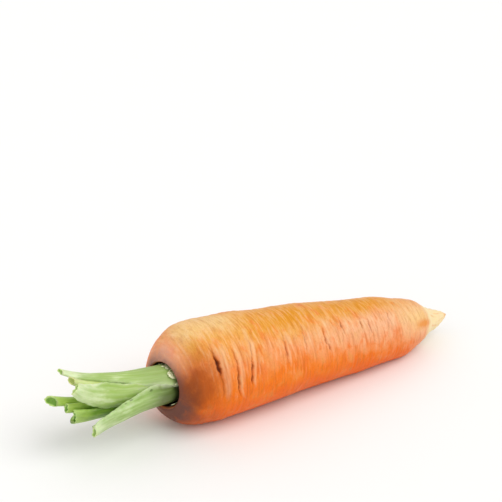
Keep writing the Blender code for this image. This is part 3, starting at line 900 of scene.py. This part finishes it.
skinLook = {
    # the four colours below follow how far up the skin faces, so they carry painted light and shade as well
    # as the skin's own colour
    "deepOrange": "#EE6C00",
    "orange": "#F07C14",
    "salmon": "#F0904A",
    "amber": "#E8A03A",
    "skyAt": (-0.45, 0.0, 0.45, 0.90),  # how far up the skin faces where each of those four colours is full
    "paleSalmon": "#F0B48A",
    "blushRed": "#EA6A20",
    "gold": "#E09208",
    "cream": "#F0C682",
    "line": "#F6D2A8",
    "streak": "#BC6414",
    # brown of the pores, and painted shade in the wrinkle folds
    "poreBrownAndFoldShade": "#B8561A",
    "tan": "#A84A0C",
    "rimShadowBrown": "#7C3A16",
    "blush": "#F4B8A4",
    "nub": "#F2DAA8",
    "stain": "#E48C34",
    "dusk": "#64423C",
    # the slit colours: partly the brown tissue inside the sockets and partly painted shade in them
    "slitEdge": "#A04812",
    "slitDeep": "#5E2410",
    # painted shade deep in the pit round the stalks
    "pitDark": "#1A180C",
    # the noises behind the patterns: mm along the root and round it, detail, roughness, distortion
    "noises": {
        "line": (1.0, 7.0, 4.0, 0.5, 0.35),
        "band": (4.5, 6.0, 6.0, 0.5, 0.4),
        "patch": (11.0, 11.0, 3.0, 0.5, 0.0),
        "mottle": (5.0, 6.0, 8.0, 0.68, 0.3),
        "pore": (0.4, 0.9, 2.0, 0.5, 0.0),
    },
    "gloss": {"From Min": 0.3, "From Max": 0.7, "To Min": 0.36, "To Max": 0.50},  # from noise to roughness
    "bump": {"Strength": 0.5, "Distance": 0.25 * mm},
    "lineInBump": 0.4,  # how much the fine lines count beside the pores in the bump
    "shader": {
        "IOR": 1.42,
        "Specular IOR Level": 0.22,
        "Subsurface Weight": 0.08,
        "Subsurface Radius": (1.0, 0.35, 0.12),
        "Subsurface Scale": 2.0 * mm,
    },
    "patchiness": 0.9,  # how far the patches shift the base colour
    # where some colours show, as part * weight + base
    "mixtures": {
        "paleness": ("band", 1.3, "pale"),
        "goldenness": ("band", 2.2, "gold"),
        "lightLine": ("skyward", 0.12, "line"),
    # pale streaks, a little stronger on the upward faces: partly painted highlight
    },
    # the colours laid over the base, first to last: what says where each shows, how much the mottle breaks
    # that up, from what value to what value it comes in, how strongly, and the colour
    "layers": [
        ("paleness", 0.0, 0.74, 1.70, 0.90, "paleSalmon"),
        ("band", 0.0, 0.48, 0.32, 0.46, "blushRed"),
        ("goldenness", 0.0, 1.25, 2.10, 0.85, "gold"),
        ("cream", 1.6, 0.05, 0.80, 0.85, "cream"),
        ("lightLine", 0.0, 0.59, 0.74, 0.28, "line"),
        ("line", 0.0, 0.47, 0.32, 0.34, "streak"),
        ("pore", 0.0, 0.50, 0.30, 0.24, "poreBrownAndFoldShade"),
        # painted highlight on the raised crease lips and the spots beside them
        ("shine", 1.2, 0.20, 0.95, 0.32, "line"),
        # painted shade in the folds of the wrinkles
        ("fold", 0.0, 0.15, 0.90, 0.26, "poreBrownAndFoldShade"),
        ("tan", 1.8, 0.05, 0.80, 0.85, "tan"),
        # painted shadow along the near rim
        ("rimShadowBrown", 1.8, 0.10, 0.90, 0.75, "rimShadowBrown"),
        ("blush", 1.8, 0.05, 0.80, 0.80, "blush"),
        ("nub", 1.2, 0.15, 0.90, 1.00, "nub"),
        ("nubFibre", 0.6, 0.60, 1.00, 0.35, "stain"),
        ("stain", 1.2, 0.10, 0.85, 0.85, "stain"),
        ("dusk", 1.9, 0.02, 0.85, 0.90, "dusk"),
        # partly brown socket tissue and partly painted shade in the slits
        ("slit", 0.0, 0.08, 0.50, 0.85, "slitEdge"),
        ("slit", 0.0, 0.45, 0.95, 0.90, "slitDeep"),
        ("pit", 0.0, 0.20, 0.90, 1.00, "pitDark"),
    ],
}


def layColours(tree, base, grain, sources, look, layers):
    # lays colours over a base. Where the break-up isn't 0, the grain makes the colour's edge uneven
    for name, breakUp, low, high, strength, colour in layers:
        source = sources[name]
        if breakUp:
            uneven = {0: grain, 1: breakUp, 2: 1.0 - breakUp / 2.0}
            uneven = addNode(tree, "Math", uneven, operation="MULTIPLY_ADD")
            source = addNode(tree, "Math", {0: uneven, 1: source}, operation="MULTIPLY")
        comesIn = {"Value": source, "From Min": low, "From Max": high, "To Max": strength}
        amount = addNode(tree, "MapRange", comesIn)
        base = addNode(tree, "Mix", {0: amount, 6: base, 7: linear(look[colour])}, data_type="RGBA", output=2)
    return base


def makeSkin():
    # washed carrot skin, grown: thin, damp and slightly clear, so it glows a little and shines softly
    look = skinLook
    material, tree, shader = newMaterial("washedCarrotSkin")
    spot = addNode(tree, "TexCoord", output="Object")
    sources = {}
    for name, (along, around, detail, roughness, distortion) in look["noises"].items():
        scale = (1.0 / (along * mm), 1.0 / (around * mm), 1.0 / (around * mm))
        place = addNode(tree, "Mapping", {"Vector": spot, "Scale": scale})
        inputs = {"Vector": place, "Scale": 1.0, "Detail": detail, "Roughness": roughness}
        inputs["Distortion"] = distortion
        sources[name] = addNode(tree, "TexNoise", inputs, output="Fac")
    for name in ("skyward", "pale", "gold", "cream", "shine", "fold", "tan", "rimShadowBrown", "blush", "nub",
                 "nubFibre", "stain", "dusk", "slit", "pit"):
        sources[name] = addNode(tree, "Attribute", attribute_name=name, output="Fac")

    # pigment by how far up the skin faces: deep orange below, salmon on the flanks, amber on top; partly the
    # skin's own colour and partly painted light and shade from above
    lowest = look["skyAt"][0]
    highest = look["skyAt"][-1]
    spreadOut = look["patchiness"]
    inputs = {0: sources["patch"], 1: spreadOut, 2: -spreadOut / 2.0}
    uneven = addNode(tree, "Math", inputs, operation="MULTIPLY_ADD")
    sky = addNode(tree, "Math", {0: sources["skyward"], 1: uneven}, operation="ADD")
    share = addNode(tree, "MapRange", {"Value": sky, "From Min": lowest, "From Max": highest})
    places = [(at - lowest) / (highest - lowest) for at in look["skyAt"]]
    pigments = [look[name] for name in ("deepOrange", "orange", "salmon", "amber")]
    skin = addNode(tree, "ValToRGB", {"Fac": share}, stops=list(zip(places, pigments)))
    for name, (part, weight, base) in look["mixtures"].items():
        inputs = {0: sources[part], 1: weight, 2: sources[base]}
        sources[name] = addNode(tree, "Math", inputs, operation="MULTIPLY_ADD")
    skin = layColours(tree, skin, sources["mottle"], sources, look, look["layers"])
    gloss = addNode(tree, "MapRange", {"Value": sources["line"], **look["gloss"]})
    inputs = {0: sources["line"], 1: look["lineInBump"], 2: sources["pore"]}
    relief = addNode(tree, "Math", inputs, operation="MULTIPLY_ADD")
    bump = addNode(tree, "Bump", {"Height": relief, **look["bump"]}, output="Normal")
    setInputs(tree, shader, {"Base Color": skin, "Roughness": gloss, "Normal": bump, **look["shader"]})
    return material


stalkColours = ("outer", "light", "inner", "shade", "cut", "core", "footShade", "soilAndShade")
stalkLooks = {  # in the order of those colours
    "pale": ("#A4C064", "#EAF2CE", "#84B22E", "#92B250", "#D2E09A", "#9CBC5C", "#90A85A", "#2E3412"),
    "sheath": ("#9CBC66", "#DDE8BE", "#84B22E", "#86A650", "#D2E09A", "#90B050", "#465620", "#2E3412"),
    "yellow": ("#C4DA70", "#E2EAAE", "#9CB23A", "#A8B854", "#D2D28C", "#A4B458", "#8C9444", "#2E3412"),
    "green": ("#86B41E", "#C2DA6C", "#5C9A18", "#508414", "#C0D884", "#6A9A20", "#34561A", "#283212"),
    # the green flesh darkened throughout: painted shade
    "shadedGreen": ("#6A961C", "#ACC860", "#5C9A18", "#426E14", "#B8D47A", "#5E8E20", "#2A4616", "#283212"),
}
stalkGrain = {
    "noises": {"fibre": (14.0, 0.55), "blotch": (10.0, 2.6)},  # mm along the stalk and across it
    "gloss": {"From Min": 0.3, "From Max": 0.7, "To Min": 0.36, "To Max": 0.52},
    "bump": {"Strength": 0.35, "Distance": 0.15 * mm},
    "shader": {
        "IOR": 1.42,
        "Coat Weight": 0.15,
        "Coat Roughness": 0.22,
        "Subsurface Weight": 0.2,
        "Subsurface Radius": (0.6, 1.0, 0.3),
        "Subsurface Scale": 1.5 * mm,
    },
    # laid over the outer colour as on the root's skin
    "layers": [
        ("blotch", 0.0, 0.58, 0.42, 0.60, "shade"),
        ("fibre", 0.0, 0.50, 0.72, 0.20, "light"),
        ("rib", 0.0, 0.0, 0.4, 0.12, "light"),
        # pale blotches, partly painted highlight
        ("blotch", 0.0, 0.54, 0.72, 0.45, "light"),
        # painted highlight towards the cut end
        ("alongStalk", 1.0, 0.60, 0.95, 0.60, "light"),
        # painted shade deep in the bunch, towards the foot
        ("nearFoot", 1.6, 0.10, 0.95, 0.80, "footShade"),
        ("innerFace", 0.0, 0.2, 0.8, 0.8, "inner"),
        # pale margins, partly painted highlight on the edges
        ("margin", 0.8, 0.3, 1.0, 0.75, "light"),
        ("alongStalk", 0.0, 0.94, 1.0, 0.3, "cut"),
        ("cutEnd", 0.0, 0.1, 0.25, 1.0, "cut"),
        ("cutEnd", 0.0, 0.5, 0.85, 0.95, "core"),
        ("nick", 0.0, 0.3, 1.0, 0.70, "soilAndShade"),
        # dirt and painted shade where the stalk sinks into the pit
        ("sunk", 0.0, 0.0, 1.0, 0.9, "soilAndShade"),
    ],
}


def makeStalkFlesh(name, look):
    # a fresh leaf stalk, grown: juicy green ribs over paler flesh, waxy and faintly see-through
    material, tree, shader = newMaterial(name)
    sources = {}
    for key in ("alongStalk", "innerFace", "rib", "margin", "nearFoot", "nick", "sunk", "cutEnd",
                "fibreAlong", "fibreAcross"):
        sources[key] = addNode(tree, "Attribute", attribute_name=key, output="Fac")
    onStalk = addNode(tree, "CombineXYZ", {"X": sources["fibreAlong"], "Y": sources["fibreAcross"]})
    for key, (along, across) in stalkGrain["noises"].items():
        stretch = addNode(tree, "Mapping", {"Vector": onStalk, "Scale": (1.0 / along, 1.0 / across, 1.0)})
        inputs = {"Vector": stretch, "Scale": 1.0, "Detail": 3.0}
        sources[key] = addNode(tree, "TexNoise", inputs, output="Fac")
    fibre = sources["fibre"]
    flesh = layColours(tree, linear(look["outer"]), sources["blotch"], sources, look, stalkGrain["layers"])
    gloss = addNode(tree, "MapRange", {"Value": fibre, **stalkGrain["gloss"]})
    bump = addNode(tree, "Bump", {"Height": fibre, **stalkGrain["bump"]}, output="Normal")
    setInputs(tree, shader, {"Base Color": flesh, "Roughness": gloss, "Normal": bump, **stalkGrain["shader"]})
    return material


driedLeaf = {
    "grain": 0.8,
    "stops": [(0.12, "#4A4420"), (0.30, "#A8AC6A"), (0.46, "#EEF0C8")],
    "bump": {"Strength": 0.5, "Distance": 0.15 * mm},
    "roughness": 0.7,
}


def makeDriedLeaf():
    # dead leaf bases, dried: thin straw that frays and catches the light
    material, tree, shader = newMaterial("driedLeafBase")
    tip = addNode(tree, "Attribute", attribute_name="scaleTip", output="Fac")
    spot = addNode(tree, "TexCoord", output="Object")
    inputs = {"Vector": spot, "Scale": 1.0 / (driedLeaf["grain"] * mm), "Detail": 3.0}
    grain = addNode(tree, "TexNoise", inputs, output="Fac")
    amount = addNode(tree, "Math", {0: tip, 1: grain}, operation="MULTIPLY")
    colour = addNode(tree, "ValToRGB", {"Fac": amount}, stops=driedLeaf["stops"])
    bump = addNode(tree, "Bump", {"Height": grain, **driedLeaf["bump"]}, output="Normal")
    setInputs(tree, shader, {"Base Color": colour, "Roughness": driedLeaf["roughness"], "Normal": bump})
    return material


stage = {
    "azimuth": -32.7,
    "elevation": 25.0,
    "distance": 783.0,
    "lens": 100.0,
    "aimAt": (133.4, 134.0, -0.9),  # (behind the crown, sideways, up from the floor)
    "sensor": 36.0,
    "floorSize": 12.0,  # metres, so that its edge never shows
    "floor": "#F6F5F3",
    "floorRoughness": 0.9,
    "world": "#FFFFFF",
    "worldStrength": 0.62,
    "softLights": [
        # azimuth, elevation, how wide it looks in degrees, strength
        (30.0, 52.0, 50.0, 1.32),
        (-80.0, 36.0, 60.0, 0.56),
        (170.0, 45.0, 60.0, 0.25),
    ],
}


def makePaleBoard():
    # matt painted board: even and nearly white
    material, tree, shader = newMaterial("mattPaleBoard")
    setInputs(tree, shader, {"Base Color": linear(stage["floor"]), "Roughness": stage["floorRoughness"]})
    return material


def backFrom(azimuth, elevation):
    # the direction from the subject to a camera or a light
    level = math.cos(math.radians(elevation))
    turn = math.radians(azimuth)
    return Vector((math.sin(turn) * level, -math.cos(turn) * level, math.sin(math.radians(elevation))))


def makeCamera():
    aim = Vector(crownShift) + Vector(stage["aimAt"]) * mm
    back = backFrom(stage["azimuth"], stage["elevation"])
    camera = bpy.data.objects.new("camera", bpy.data.cameras.new("camera"))
    camera.data.lens = stage["lens"]
    camera.data.sensor_width = stage["sensor"]
    camera.data.clip_start = 0.01
    camera.location = aim + back * stage["distance"] * mm
    camera.rotation_euler = back.to_track_quat("Z", "Y").to_euler()
    bpy.context.scene.collection.objects.link(camera)
    bpy.context.scene.camera = camera


def makeStage():
    half = stage["floorSize"] / 2.0
    corners = np.array([(-half, -half, 0.0), (half, -half, 0.0), (half, half, 0.0), (-half, half, 0.0)])
    floor = meshObject("paleFloor", corners, [(0, 1, 2, 3)], makePaleBoard(), {})
    for i, (azimuth, elevation, width, strength) in enumerate(stage["softLights"]):
        lamp = bpy.data.lights.new(f"softLight{i}", "SUN")
        lamp.angle = math.radians(width)
        lamp.energy = strength
        light = bpy.data.objects.new(lamp.name, lamp)
        light.rotation_euler = backFrom(azimuth, elevation).to_track_quat("Z", "Y").to_euler()
        bpy.context.scene.collection.objects.link(light)
    world = bpy.data.worlds.new("studio")
    world.use_nodes = True
    background = world.node_tree.nodes["Background"]
    background.inputs["Color"].default_value = linear(stage["world"])
    background.inputs["Strength"].default_value = stage["worldStrength"]
    bpy.context.scene.world = world
    bpy.context.scene.view_settings.view_transform = "Standard"


makeCamera()
print("camera placed")

root = makeRoot(makeSkin())
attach(root, "root")
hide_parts("root")
print("root made:", len(root.data.polygons), "faces")

fleshes = {}
for kind, colours in stalkLooks.items():
    fleshes[kind] = makeStalkFlesh(kind + "StalkFlesh", dict(zip(stalkColours, colours)))
for seed, (name, design) in enumerate(stalkDesigns.items()):
    stalk = makeStalk(name, design, fleshes[design["finish"]], stalkFinish["firstSeed"] + seed)
    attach(stalk, "root")
    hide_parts(name)
print("stalks made:", len(stalkDesigns))

flakes = makeDryScales(makeDriedLeaf())
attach(flakes, "root")
print("dry scales made")

makeStage()
